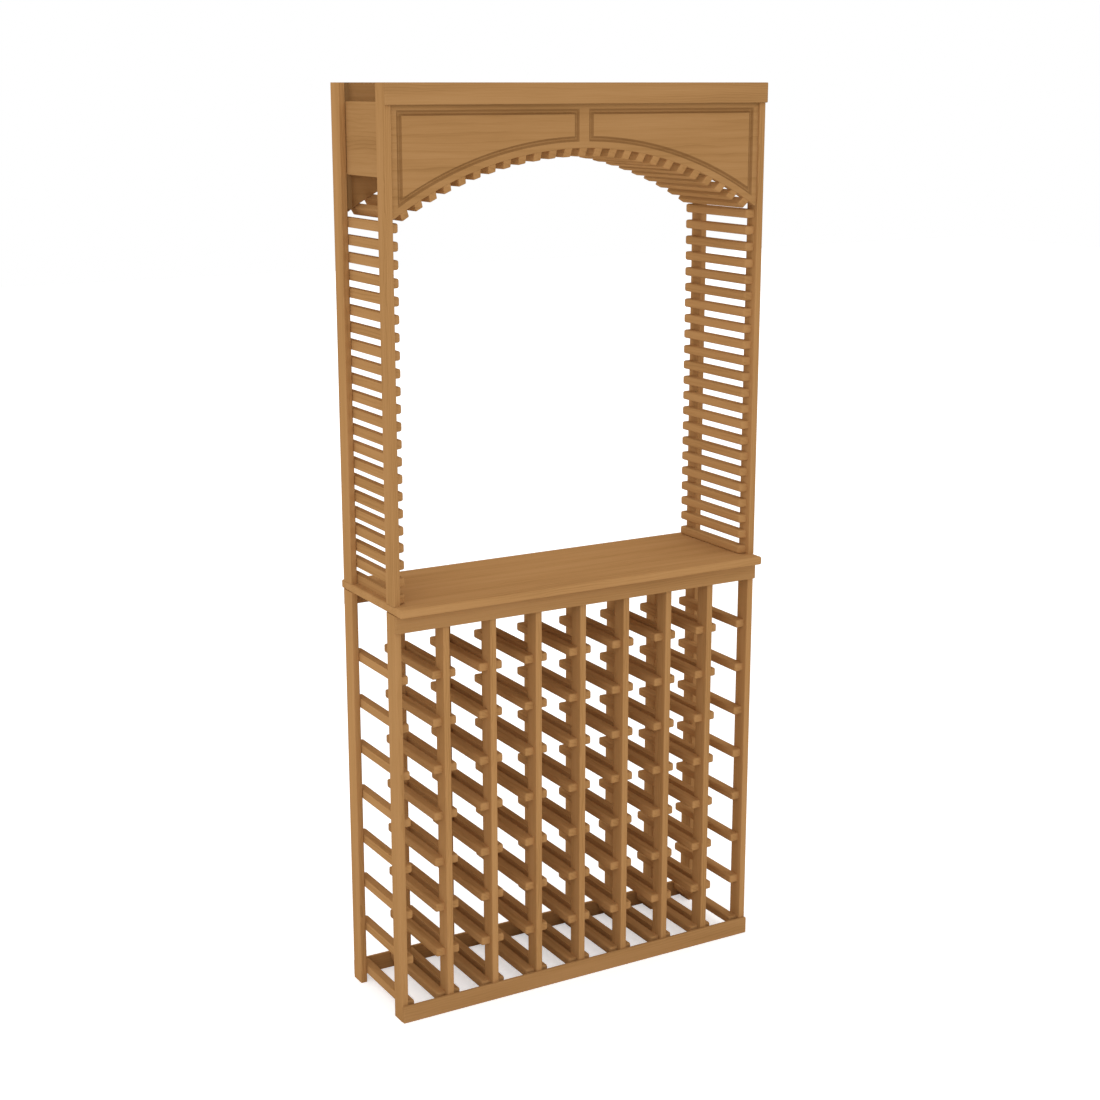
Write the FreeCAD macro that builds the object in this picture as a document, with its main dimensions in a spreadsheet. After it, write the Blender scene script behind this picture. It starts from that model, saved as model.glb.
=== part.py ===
"""Tasting table: a bottle rack, a table top over it, and a slatted arch with a panelled header on the table.

Millimetres. +Z is up, the front faces -Y and +X is to the right. The origin is on the floor, in the middle
of the part's outer box.
"""
import FreeCAD
import Part
import os
import re
import Sketcher

# Driving sizes, one cell of the sheet each
SIZES = {
    # whole part
    "overall_width": 881.0,  # over the outer faces of the end posts
    "overall_height": 1921.0,  # floor to the top of the arch
    "rack_depth": 245.5,  # front of the front posts to the back of the back posts
    "column_count": 8,  # bottle columns side by side
    # posts of the rack and of the arch
    "post_width": 15.0,
    "post_depth": 38.0,
    "post_ease": 2.5,  # rounding of the long edges
    # bottle rails
    "rail_width": 20.0,
    "rail_height": 19.0,
    "rail_ease": 4.0,
    "rail_front_inset": 11.5,  # rail ends behind the front of the posts
    "rail_back_inset": 2.0,
    "rail_rows": 8,
    "lowest_rail_rise": 20.0,  # floor to the underside of the lowest rail
    "top_rail_drop": 133.0,  # underside of the table to the top of the highest rail
    # table top
    "table_height": 907.0,  # floor to the upper surface
    "table_thickness": 18.0,
    "table_front_overhang": 30.5,
    "table_back_overhang": 11.0,
    "table_ease": 4.0,
    # strips across the posts
    "strip_thickness": 7.5,
    "strip_ease": 2.0,
    "base_strip_height": 38.0,
    "apron_height": 37.0,
    "fascia_height": 41.0,
    "back_strip_inset": 3.0,  # back strips stop this far inside the end posts
    # side slats of the arch
    "slat_thickness": 18.0,
    "slat_height": 19.0,
    "slat_ease": 4.0,
    "slat_count": 22,
    "slat_front_inset": 11.5,
    "slat_slope": 4.0,  # inner edge of the sloping front end behind the outer one
    "slat_back_inset": 2.0,
    "slat_top_gap": 4.6,  # top of the highest slat below the foot of the arch
    # arch of the header
    "arch_rise": 129.3,  # foot of the arch to its crown
    "arch_crown_drop": 127.1,  # top of the part to the crown
    "arch_slat_width": 17.5,
    "arch_slat_thickness": 16.8,
    "arch_slat_ease": 2.0,
    "arch_slat_count": 25,
    "arch_slat_end_gap": 30.6,  # along the arch, its foot to the middle of the last slat
    "arch_slat_setback": 1.0,  # upper edge of the front end behind the face of the header board
    "arch_slat_slope": 9.5,  # lower edge of the sloping front end behind the upper one
    # header boards with two routed panels
    "valance_recess": 5.0,  # board face behind the face of the posts
    "valance_thickness": 18.0,
    "valance_ease": 1.5,  # rounding along the arched edge
    "valance_tip_radius": 4.0,  # rounding of the feet of the arch
    "panel_border": 12.8,  # plain wood beside and below the routed groove
    "panel_top_drop": 50.6,  # top of the part to the groove
    "panel_mullion": 22.5,  # plain wood between the two panels
    "groove_width": 10.8,
    "groove_depth": 4.0,
    # end boards and corner battens of the header
    "end_board_thickness": 13.0,
    "end_board_height": 141.0,
    "end_board_drop": 36.0,  # top of the part to the top of the board
    "cleat_width": 9.0,
    "cleat_foot_gap": 12.0,  # bottom of the batten above the foot of the arch
    # dowels, nails and screws
    "dowel_diameter": 8.0,
    "dowel_seat": 8.0,  # depth in the table top
    "dowel_reach": 12.0,  # depth in the post
    "arch_dowel_spacing": 20.0,
    "board_dowel_diameter": 5.0,
    "board_dowel_seat": 8.0,  # depth in the batten
    "board_dowel_reach": 20.0,  # depth in the end board
    "board_dowel_spacing": 90.0,
    "dowel_clearance": 0.1,
    "dowel_end_gap": 0.5,  # holes deeper than the dowel
    "nail_diameter": 1.6,
    "nail_length": 24.0,
    "nail_set": 0.8,  # nail heads below the face of the strip
    "nail_clearance": 0.05,
    "screw_diameter": 3.5,
    "screw_reach": 9.0,  # depth in the post
    "screw_head_diameter": 7.0,
    "screw_head_height": 2.5,
    "screw_end_distance": 80.0,  # from the ends of the batten
    "screw_clearance": 0.1,
}

# Places and sizes that follow from the driving ones
FOLLOWS = {
    "left_side": "(-overall_width / 2)",
    "inner_side": "(overall_width / 2 - post_width)",
    "ladder_pitch": "((overall_width - post_width) / column_count)",
    "ladder_count": "(column_count + 1)",
    "post_row_depth": "(rack_depth - post_depth)",
    "table_depth": "(rack_depth + table_front_overhang + table_back_overhang)",
    "front_face": "(table_front_overhang - table_depth / 2)",
    "back_face": "(front_face + rack_depth)",
    "table_underside": "(table_height - table_thickness)",
    "apron_bottom": "(table_underside - apron_height)",
    "rail_length": "(rack_depth - rail_front_inset - rail_back_inset)",
    "rail_run": "(table_underside - top_rail_drop - rail_height - lowest_rail_rise)",
    "back_strip_length": "(overall_width - 2 * back_strip_inset)",
    "arch_post_height": "(overall_height - table_height)",
    "arch_crown": "(overall_height - arch_crown_drop)",
    "arch_foot": "(arch_crown - arch_rise)",
    "arch_radius": "((inner_side * inner_side + arch_rise * arch_rise) / (2 * arch_rise))",
    "arch_centre": "(arch_crown - arch_radius)",
    "slat_length": "(rack_depth - slat_front_inset - slat_back_inset)",
    "slat_run": "(arch_foot - slat_top_gap - slat_height - table_height)",
    "arch_slat_inset": "(valance_recess + arch_slat_setback)",
    "arch_slat_length": "(rack_depth - arch_slat_inset - valance_recess)",
    "arch_slat_seat": "sqrt(arch_radius * arch_radius - arch_slat_width * arch_slat_width / 4)",
    "arch_slat_fan": "(2 * asin(inner_side / arch_radius) - 360 deg / pi * arch_slat_end_gap / arch_radius)",
    "valance_back": "(valance_recess + valance_thickness)",
    "cleat_depth": "(post_depth - valance_back)",
    "cleat_middle": "(valance_back + cleat_depth / 2)",
    "cleat_bottom": "(arch_foot + cleat_foot_gap)",
    "cleat_height": "(overall_height - cleat_bottom)",
    "end_board_bottom": "(overall_height - end_board_drop - end_board_height)",
    "end_board_length": "(rack_depth - 2 * post_depth)",
    "panel_inner_border": "(panel_border + groove_width)",
    "dowel_hole_radius": "(dowel_diameter / 2 + dowel_clearance)",
    "board_dowel_hole_radius": "(board_dowel_diameter / 2 + dowel_clearance)",
    "nail_hole_radius": "(nail_diameter / 2 + nail_clearance)",
    "nail_hole_depth": "(nail_set + nail_length - strip_thickness + dowel_end_gap)",
    "screw_hole_radius": "(screw_diameter / 2 + screw_clearance)",
    "lower_screw": "(cleat_bottom + screw_end_distance)",
    "screw_run": "(cleat_height - 2 * screw_end_distance)",
}

doc = FreeCAD.newDocument("tasting_table")
sheet = doc.addObject("Spreadsheet::Sheet", "Sizes")
nodes = []


def fill_sheet():
    """One row of the sheet for each driving size."""
    for row, (alias, number) in enumerate(SIZES.items(), start=1):
        sheet.set(f"A{row}", alias)
        sheet.set(f"B{row}", str(number))
        sheet.setAlias(f"B{row}", alias)
    doc.recompute()


def formula(text):
    """The text with its names written out as cells of the sheet."""

    def written_out(match):
        word = match.group(0)
        if word in FOLLOWS:
            return formula(FOLLOWS[word])
        return f"Sizes.{word}" if word in SIZES else word

    return re.sub(r"[a-z_]+", written_out, text)


def bind(thing, **formulas):
    """Ties properties of an object to the sheet. A double underscore stands for a dot in the path."""
    for path, text in formulas.items():
        thing.setExpression(path.replace("__", "."), formula(text))


def place(thing, x, y, z):
    """Ties the place of an object to the sheet."""
    bind(thing, Placement__Base__x=x, Placement__Base__y=y, Placement__Base__z=z)


def origin_part(body, role):
    """A plane or axis of the body's own origin."""
    return next(part for part in body.Origin.OriginFeatures if part.Role == role)


def new_body(label, x, y, z):
    """A named body, placed by its lower left front corner. It may hold several solids."""
    body = doc.addObject("PartDesign::Body", label)
    body.Label = label
    body.AllowCompound = True
    place(body, x, y, z)
    nodes.append(body)
    return body


def new_sketch(body, role, lift="0"):
    """An empty sketch on one of the body's origin planes, moved along the plane's normal by lift."""
    sketch = body.newObject("Sketcher::SketchObject", body.Label + "_outline")
    sketch.AttachmentSupport = (origin_part(body, role), [""])
    sketch.MapMode = "FlatFace"
    bind(sketch, AttachmentOffset__Base__z=lift)
    return sketch


def limit(sketch, text, *constraint):
    """A constraint of the sketch whose value is tied to the sheet."""
    index = sketch.addConstraint(Sketcher.Constraint(*constraint, 1))
    sketch.setExpression(f"Constraints[{index}]", formula(text))


def four_sides(sketch):
    """Adds a closed outline of four lines, from the lower left corner on, and gives their numbers."""
    corners = [(0, 0), (1, 0), (1, 1), (0, 1)]
    points = [FreeCAD.Vector(*corner) for corner in corners]
    sides = [sketch.GeometryCount + side for side in range(len(points))]
    for start, end in zip(points, points[1:] + points[:1]):
        sketch.addGeometry(Part.LineSegment(start, end), False)
    for side, following in zip(sides, sides[1:] + sides[:1]):
        sketch.addConstraint(Sketcher.Constraint("Coincident", side, 2, following, 1))
    return sides


def rectangle(sketch, width, height, left=None, low=None):
    """Adds a rectangle. Without left and low its first corner is on the sketch's origin."""
    sides = four_sides(sketch)
    first = sides[0]
    for side in sides[0::2]:
        sketch.addConstraint(Sketcher.Constraint("Horizontal", side))
    for side in sides[1::2]:
        sketch.addConstraint(Sketcher.Constraint("Vertical", side))
    limit(sketch, width, "DistanceX", first, 1, first, 2)
    limit(sketch, height, "DistanceY", first + 1, 1, first + 1, 2)
    if left is None:
        sketch.addConstraint(Sketcher.Constraint("Coincident", first, 1, -1, 1))
    else:
        limit(sketch, left, "DistanceX", -1, 1, first, 1)
        limit(sketch, low, "DistanceY", -1, 1, first, 1)


def trapezium(sketch, corners):
    """Adds an outline of four sides by the places of its corners, from the lower left one on."""
    for side, (across, up) in zip(four_sides(sketch), corners):
        limit(sketch, across, "DistanceX", -1, 1, side, 1)
        limit(sketch, up, "DistanceY", -1, 1, side, 1)


def circle(sketch, radius, across, up):
    """Adds a circle by its radius and its centre."""
    centre = FreeCAD.Vector(1, 1)
    index = sketch.addGeometry(Part.Circle(centre, FreeCAD.Vector(0, 0, 1), 1), False)
    limit(sketch, radius, "Radius", index)
    limit(sketch, across, "DistanceX", -1, 1, index, 3)
    limit(sketch, up, "DistanceY", -1, 1, index, 3)


def pad(sketch, length, against_normal=False):
    """Extrudes a sketch into wood."""
    feature = sketch.getParentGeoFeatureGroup().newObject("PartDesign::Pad", sketch.Name + "_pad")
    feature.Profile = sketch
    feature.Reversed = against_normal
    bind(feature, Length=length)
    doc.recompute()
    return feature


def drill(sketch, depth=None, along_normal=False):
    """Cuts a sketch out of its body, to a depth or right through."""
    body = sketch.getParentGeoFeatureGroup()
    before = body.Shape.Volume
    feature = body.newObject("PartDesign::Pocket", sketch.Name + "_hole")
    feature.Profile = sketch
    feature.Reversed = along_normal
    if depth is None:
        feature.Type = "ThroughAll"
        feature.Midplane = True
    else:
        bind(feature, Length=depth)
    doc.recompute()
    if not body.Shape.Volume < before:
        raise RuntimeError(f"{feature.Name} cuts nothing out of {body.Label}")
    return feature


def ease(body, radius, chosen):
    """Rounds the chosen edges of a body's last feature."""
    base = body.Tip
    edges = [f"Edge{number}" for number, edge in enumerate(base.Shape.Edges, start=1) if chosen(edge)]
    feature = body.newObject("PartDesign::Fillet", body.Label + "_ease")
    feature.Base = (base, edges)
    bind(feature, Radius=radius)
    doc.recompute()


def upright(edge):
    """True for an edge that runs along Z."""
    return edge.BoundBox.ZLength > edge.BoundBox.XLength + edge.BoundBox.YLength


def ease_except(body, radius, seat):
    """Rounds every edge of a piece but those of its seat, the fixed side of its box, such as "XMin"."""
    axis = "XYZ".index(seat[0])
    level = getattr(body.Tip.Shape.BoundBox, seat)

    def clear_of_seat(edge):
        return any(abs(vertex.Point[axis] - level) > edge.Tolerance for vertex in edge.Vertexes)

    ease(body, radius, clear_of_seat)


def repeat(body, axis, length, count, holes=None, second=None):
    """Repeats the whole body, or only some holes of it, along an axis and perhaps along a second one."""
    pattern = body.newObject("PartDesign::LinearPattern", body.Label + "_row")
    if holes is None:
        pattern.TransformMode = "Whole shape"
    else:
        pattern.Originals = [holes]
    pattern.Direction = (origin_part(body, axis), [""])
    bind(pattern, Length=length, Occurrences=count)
    if second is not None:
        second_axis, second_length, second_count = second
        pattern.Direction2 = (origin_part(body, second_axis), [""])
        bind(pattern, Length2=second_length, Occurrences2=second_count)
    body.Tip = pattern
    doc.recompute()


def bar_along_y(label, x, y, z, width, height, length):
    """A bar or board that runs front to back."""
    body = new_body(label, x, y, z)
    sketch = new_sketch(body, "XZ_Plane")
    rectangle(sketch, width, height)
    pad(sketch, length, against_normal=True)
    return body


def rack_post(number, back):
    """One upright of the rack, with a dowel hole in its top and a nail hole behind each strip."""
    across = f"left_side + {number - 1} * ladder_pitch"
    side = "back" if back else "front"
    row = "front_face + post_row_depth" if back else "front_face"
    body = new_body(f"{side}_post_{number}", across, row, "0")
    outline = new_sketch(body, "XY_Plane")
    rectangle(outline, "post_width", "post_depth")
    pad(outline, "table_underside")
    ease(body, "post_ease", upright)
    dowel = new_sketch(body, "XY_Plane", "table_underside")
    circle(dowel, "dowel_hole_radius", "post_width / 2", "post_depth / 2")
    drill(dowel, "dowel_reach + dowel_end_gap")
    nails = new_sketch(body, "XZ_Plane", "-post_depth" if back else "0")
    circle(nails, "nail_hole_radius", "post_width / 2", "base_strip_height / 2")
    circle(nails, "nail_hole_radius", "post_width / 2", "apron_bottom + apron_height / 2")
    drill(nails, "nail_hole_depth", along_normal=back)


def bottle_rails(number, side):
    """The rails on one side of a ladder, one above the other."""
    post_left = f"left_side + {number - 1} * ladder_pitch"
    across = f"{post_left} + post_width" if side == "right" else f"{post_left} - rail_width"
    body = bar_along_y(f"bottle_rails_{number}_{side}", across, "front_face + rail_front_inset",
                       "lowest_rail_rise", "rail_width", "rail_height", "rail_length")
    ease_except(body, "rail_ease", "XMin" if side == "right" else "XMax")
    repeat(body, "Z_Axis", "rail_run", "rail_rows")


def table_top():
    """The board over the rack, with dowel holes for the posts below it and the posts on it."""
    body = new_body("table_top", "left_side", "front_face - table_front_overhang", "table_underside")
    outline = new_sketch(body, "XY_Plane")
    rectangle(outline, "overall_width", "table_depth")
    pad(outline, "table_thickness")
    ease(body, "table_ease", lambda edge: True)
    middle = "table_front_overhang + post_depth / 2"
    below = new_sketch(body, "XY_Plane")
    circle(below, "dowel_hole_radius", "post_width / 2", middle)
    holes_below = drill(below, "dowel_seat + dowel_end_gap", along_normal=True)
    repeat(body, "X_Axis", "overall_width - post_width", "ladder_count", holes_below,
           ("Y_Axis", "post_row_depth", "2"))
    above = new_sketch(body, "XY_Plane", "table_thickness")
    for direction in ("-", "+"):
        circle(above, "dowel_hole_radius", "post_width / 2", f"{middle} {direction} arch_dowel_spacing / 2")
    holes_above = drill(above, "dowel_seat + dowel_end_gap")
    repeat(body, "X_Axis", "overall_width - post_width", "2", holes_above, ("Y_Axis", "post_row_depth", "2"))


def table_dowels():
    """Dowels that hold the table top on the posts of the rack."""
    body = new_body("table_dowels", "left_side", "front_face", "table_underside - dowel_reach")
    section = new_sketch(body, "XY_Plane")
    circle(section, "dowel_diameter / 2", "post_width / 2", "post_depth / 2")
    pad(section, "dowel_reach + dowel_seat")
    repeat(body, "X_Axis", "overall_width - post_width", "ladder_count", None,
           ("Y_Axis", "post_row_depth", "2"))


def arch_post_dowels():
    """Pairs of dowels that hold the posts of the arch on the table top."""
    body = new_body("arch_post_dowels", "left_side", "front_face", "table_height - dowel_seat")
    section = new_sketch(body, "XY_Plane")
    for direction in ("-", "+"):
        circle(section, "dowel_diameter / 2", "post_width / 2",
               f"(post_depth {direction} arch_dowel_spacing) / 2")
    pad(section, "dowel_reach + dowel_seat")
    repeat(body, "X_Axis", "overall_width - post_width", "2", None, ("Y_Axis", "post_row_depth", "2"))


def strip(label, x, y, z, length, height, hole_across, hole_run, hole_count, seat):
    """A flat strip across the posts, with a nail hole over each of them."""
    body = new_body(label, x, y, z)
    outline = new_sketch(body, "XZ_Plane")
    rectangle(outline, length, height)
    pad(outline, "strip_thickness", against_normal=True)
    ease_except(body, "strip_ease", seat)
    nail = new_sketch(body, "XZ_Plane")
    circle(nail, "nail_hole_radius", hole_across, f"{height} / 2")
    repeat(body, "X_Axis", hole_run, hole_count, drill(nail))


def rack_strips():
    """The strips at the floor and under the table, front and back."""
    run = ("overall_width - post_width", "ladder_count")
    proud = "front_face - strip_thickness"
    strip("front_base_strip", "left_side", proud, "0", "overall_width", "base_strip_height",
          "post_width / 2", *run, "YMax")
    strip("front_apron", "left_side", proud, "apron_bottom", "overall_width", "apron_height",
          "post_width / 2", *run, "YMax")
    inset_side = "left_side + back_strip_inset"
    strip("back_base_strip", inset_side, "back_face", "0", "back_strip_length", "base_strip_height",
          "post_width / 2 - back_strip_inset", *run, "YMin")
    strip("back_apron", inset_side, "back_face", "apron_bottom", "back_strip_length", "apron_height",
          "post_width / 2 - back_strip_inset", *run, "YMin")


def strip_nails(label, y):
    """The nails of one pair of strips, front or back."""
    body = new_body(label, "left_side", y, "0")
    section = new_sketch(body, "XZ_Plane")
    circle(section, "nail_diameter / 2", "post_width / 2", "base_strip_height / 2")
    circle(section, "nail_diameter / 2", "post_width / 2", "apron_bottom + apron_height / 2")
    pad(section, "nail_length", against_normal=True)
    repeat(body, "X_Axis", "overall_width - post_width", "ladder_count")


def arch_post(end, right):
    """One upright of the arch, with holes for its dowels, the batten's screws and, in front, a nail."""
    back = end == "back"
    side = "right" if right else "left"
    body = new_body(f"arch_post_{end}_{side}", "inner_side" if right else "left_side",
                    "front_face + post_row_depth" if back else "front_face", "table_height")
    outline = new_sketch(body, "XY_Plane")
    rectangle(outline, "post_width", "post_depth")
    pad(outline, "arch_post_height")
    ease_except(body, "post_ease", "ZMin")
    dowels = new_sketch(body, "XY_Plane")
    for direction in ("-", "+"):
        circle(dowels, "dowel_hole_radius", "post_width / 2",
               f"(post_depth {direction} arch_dowel_spacing) / 2")
    drill(dowels, "dowel_reach + dowel_end_gap", along_normal=True)
    screws = new_sketch(body, "YZ_Plane", "0" if right else "post_width")
    for rise in ("lower_screw", "lower_screw + screw_run"):
        circle(screws, "screw_hole_radius", "post_depth - cleat_middle" if back else "cleat_middle",
               f"{rise} - table_height")
    drill(screws, "screw_reach + dowel_end_gap", along_normal=right)
    if not back:
        nail = new_sketch(body, "XZ_Plane")
        circle(nail, "nail_hole_radius", "post_width / 2", "arch_post_height - fascia_height / 2")
        drill(nail, "nail_hole_depth")


def side_slats(side):
    """The slats on the inner sides of two arch posts, with front ends that slope back from the posts."""
    right = side == "right"
    across = "inner_side - slat_thickness" if right else "-inner_side"
    body = new_body(f"side_slats_{side}", across, "front_face + slat_front_inset", "table_height")
    outline = new_sketch(body, "XY_Plane")
    trapezium(outline, [
        ("0", "slat_slope" if right else "0"),
        ("slat_thickness", "0" if right else "slat_slope"),
        ("slat_thickness", "slat_length"),
        ("0", "slat_length"),
    ])
    pad(outline, "slat_height")
    ease_except(body, "slat_ease", "XMax" if right else "XMin")
    repeat(body, "Z_Axis", "slat_run", "slat_count")


def arch_slats():
    """The slats that line the arch, fanned out from its centre, with front ends that slope back below."""
    body = new_body("arch_slats", "0", "front_face + arch_slat_inset", "arch_centre")
    body.Placement.Rotation.Axis = FreeCAD.Vector(0, 1, 0)
    bind(body, Placement__Rotation__Angle="-arch_slat_fan / 2")
    outline = new_sketch(body, "YZ_Plane", "-arch_slat_width / 2")
    underside = "arch_slat_seat - arch_slat_thickness"
    trapezium(outline, [
        ("arch_slat_slope", underside),
        ("arch_slat_length", underside),
        ("arch_slat_length", "arch_slat_seat"),
        ("0", "arch_slat_seat"),
    ])
    pad(outline, "arch_slat_width")
    ease_except(body, "arch_slat_ease", "ZMax")
    fan = body.newObject("PartDesign::PolarPattern", "arch_slats_fan")
    fan.TransformMode = "Whole shape"
    fan.Axis = (origin_part(body, "Y_Axis"), [""])
    bind(fan, Angle="arch_slat_fan", Occurrences="arch_slat_count")
    body.Tip = fan
    doc.recompute()


def arched_block(name, width, height, depth, x, y, z, radius):
    """A block whose underside is hollowed by a cylinder about the centre of the arch."""
    block = doc.addObject("Part::Box", name + "_block")
    bind(block, Length=width, Width=depth, Height=height)
    place(block, x, y, z)
    hollow = doc.addObject("Part::Cylinder", name + "_hollow")
    bind(hollow, Radius=radius, Height="rack_depth")
    hollow.Placement.Rotation = FreeCAD.Rotation(FreeCAD.Vector(1, 0, 0), -90)
    place(hollow, "0", "-rack_depth / 2", "arch_centre")
    arched = doc.addObject("Part::Cut", name)
    arched.Base = block
    arched.Tool = hollow
    return arched


def panel_groove(name, right):
    """The routed groove of one panel: a ring between two outlines that follow the arch."""
    rings = []
    for border, mullion, drop in (
        ("panel_border", "panel_mullion / 2", "panel_top_drop"),
        ("panel_inner_border", "panel_mullion / 2 + groove_width", "panel_top_drop + groove_width"),
    ):
        width = f"inner_side - {border} - ({mullion})"
        left = mullion if right else f"{border} - inner_side"
        rings.append(arched_block(f"{name}_{border}", width, f"overall_height - arch_foot - ({drop})",
                                  "groove_depth", left, "0", "arch_foot", f"arch_radius + {border}"))
    groove = doc.addObject("Part::Cut", name)
    groove.Base, groove.Tool = rings
    return groove


def valance(label, back):
    """A header board with an arched lower edge and two routed panels on its outer face."""
    board = arched_block(label + "_board", "2 * inner_side", "overall_height - arch_foot",
                         "valance_thickness", "-inner_side", "0", "arch_foot", "arch_radius")
    grooves = doc.addObject("Part::MultiFuse", label + "_grooves")
    grooves.Shapes = [panel_groove(label + "_left_groove", right=False),
                      panel_groove(label + "_right_groove", right=True)]
    carved = doc.addObject("Part::Cut", label + "_carved")
    carved.Base = board
    carved.Tool = grooves
    body = new_body(label, "0", "back_face - valance_recess" if back else "front_face + valance_recess", "0")
    if back:
        body.Placement.Rotation = FreeCAD.Rotation(FreeCAD.Vector(0, 0, 1), 180)
    body.BaseFeature = carved
    doc.recompute()
    foot = body.Tip.Shape.BoundBox.ZMin
    radius = board.Tool.Radius.Value
    ease(body, "valance_tip_radius", lambda edge: edge.BoundBox.ZMax - foot < edge.Tolerance)
    ease(body, "valance_ease", lambda edge: abs(getattr(edge.Curve, "Radius", 0) - radius) < edge.Tolerance)


def valance_cleats():
    """Battens in the four corners behind the header boards, with screw and dowel holes."""
    body = new_body("valance_cleats", "-inner_side", "front_face + valance_back", "cleat_bottom")
    outline = new_sketch(body, "XY_Plane")
    rectangle(outline, "cleat_width", "cleat_depth")
    pad(outline, "cleat_height")
    back_row = "rack_depth - 2 * valance_back - cleat_depth"
    repeat(body, "X_Axis", "2 * inner_side - cleat_width", "2", None, ("Y_Axis", back_row, "2"))
    screws = new_sketch(body, "YZ_Plane")
    dowels = new_sketch(body, "XZ_Plane", "-cleat_depth + board_dowel_seat + dowel_end_gap")
    for row in ("0", back_row):
        for rise in ("screw_end_distance", "screw_end_distance + screw_run"):
            circle(screws, "screw_hole_radius", f"{row} + cleat_depth / 2", rise)
    board_rise = "end_board_bottom - cleat_bottom"
    for across in ("cleat_width / 2", "2 * inner_side - cleat_width / 2"):
        for direction in ("-", "+"):
            circle(dowels, "board_dowel_hole_radius", across,
                   f"{board_rise} + (end_board_height {direction} board_dowel_spacing) / 2")
    drill(screws)
    drill(dowels, "end_board_length + 2 * (board_dowel_seat + dowel_end_gap)")


def cleat_screws(side):
    """Round-headed screws through the battens of one side into the arch posts."""
    right = side == "right"
    across = "inner_side + screw_reach" if right else "-inner_side - screw_reach"
    body = new_body(f"cleat_screws_{side}", across, "front_face", "lower_screw")
    shank_length = "screw_reach + cleat_width"
    for radius, start, length in (
        ("screw_diameter / 2", "0", shank_length),
        ("screw_head_diameter / 2", shank_length, "screw_head_height"),
    ):
        section = new_sketch(body, "YZ_Plane", f"-({start})" if right else start)
        circle(section, radius, "cleat_middle", "0")
        pad(section, length, against_normal=right)
    repeat(body, "Z_Axis", "screw_run", "2", None, ("Y_Axis", "rack_depth - 2 * cleat_middle", "2"))


def end_board(side):
    """The board that closes one end of the header, between its two battens."""
    across = "inner_side - end_board_thickness" if side == "right" else "-inner_side"
    body = bar_along_y(f"end_board_{side}", across, "front_face + post_depth", "end_board_bottom",
                       "end_board_thickness", "end_board_height", "end_board_length")
    dowel_across = "end_board_thickness - cleat_width / 2" if side == "right" else "cleat_width / 2"
    for lift, along_normal in (("0", False), ("-(end_board_length)", True)):
        dowels = new_sketch(body, "XZ_Plane", lift)
        for direction in ("-", "+"):
            circle(dowels, "board_dowel_hole_radius", dowel_across,
                   f"(end_board_height {direction} board_dowel_spacing) / 2")
        drill(dowels, "board_dowel_reach + dowel_end_gap", along_normal=along_normal)


def end_board_dowels():
    """Dowels between the end boards and the battens."""
    body = new_body("end_board_dowels", "-inner_side", "front_face + post_depth - board_dowel_seat",
                    "end_board_bottom")
    section = new_sketch(body, "XZ_Plane")
    for direction in ("-", "+"):
        circle(section, "board_dowel_diameter / 2", "cleat_width / 2",
               f"(end_board_height {direction} board_dowel_spacing) / 2")
    pad(section, "board_dowel_seat + board_dowel_reach", against_normal=True)
    repeat(body, "X_Axis", "2 * inner_side - cleat_width", "2", None,
           ("Y_Axis", "end_board_length + board_dowel_seat - board_dowel_reach", "2"))


def top_fascia():
    """The strip across the top of the front, and its nails."""
    strip("top_fascia", "left_side", "front_face - strip_thickness", "overall_height - fascia_height",
          "overall_width", "fascia_height", "post_width / 2", "overall_width - post_width", "2", "YMax")
    nails = new_body("fascia_nails", "left_side", "front_face - strip_thickness + nail_set", "overall_height")
    section = new_sketch(nails, "XZ_Plane")
    bind(section, AttachmentOffset__Base__y="-fascia_height")
    circle(section, "nail_diameter / 2", "post_width / 2", "fascia_height / 2")
    pad(section, "nail_length", against_normal=True)
    repeat(nails, "X_Axis", "overall_width - post_width", "2")


def build():
    """All pieces, from the floor up."""
    fill_sheet()
    ladders = int(sheet.get("column_count")) + 1
    for number in range(1, ladders + 1):
        rack_post(number, back=False)
        rack_post(number, back=True)
        if number > 1:
            bottle_rails(number, "left")
        if number < ladders:
            bottle_rails(number, "right")
    rack_strips()
    strip_nails("front_strip_nails", "front_face - strip_thickness + nail_set")
    strip_nails("back_strip_nails", "back_face + strip_thickness - nail_set - nail_length")
    table_top()
    table_dowels()
    arch_post_dowels()
    for end in ("front", "back"):
        for right in (False, True):
            arch_post(end, right)
        valance(f"{end}_valance", back=end == "back")
    for side in ("left", "right"):
        side_slats(side)
        end_board(side)
        cleat_screws(side)
    valance_cleats()
    end_board_dowels()
    arch_slats()
    top_fascia()
    doc.recompute()


def check():
    """Stops if an object failed or a piece has no sound solid."""
    failed = [thing.Label for thing in doc.Objects if {"Invalid", "Error"} & set(thing.State)]
    shapes = {node.Label: node.Shape for node in nodes}
    unsound = [label for label, shape in shapes.items()
               if shape.isNull() or not shape.isValid() or not shape.Solids]
    if failed or unsound:
        raise RuntimeError(f"failed objects {failed}, unsound pieces {unsound}")


def write():
    """One file for each piece."""
    os.makedirs("parts", exist_ok=True)
    for node in nodes:
        node.Shape.exportStep(f"parts/{node.Label}.step")
    print(len(nodes), "pieces,", sum(len(node.Shape.Solids) for node in nodes), "solids")


build()
check()
write()
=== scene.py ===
"""Looks of a wooden tasting table: a rack, a table top over it and a slatted arch with a panelled header.

Metres. +Z is up, the front faces -Y and +X is to the right. Every board is modelled where its CAD node
stands.
"""

import math
import random
from types import SimpleNamespace

import bmesh
import bpy
from mathutils import Matrix, Vector


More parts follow.
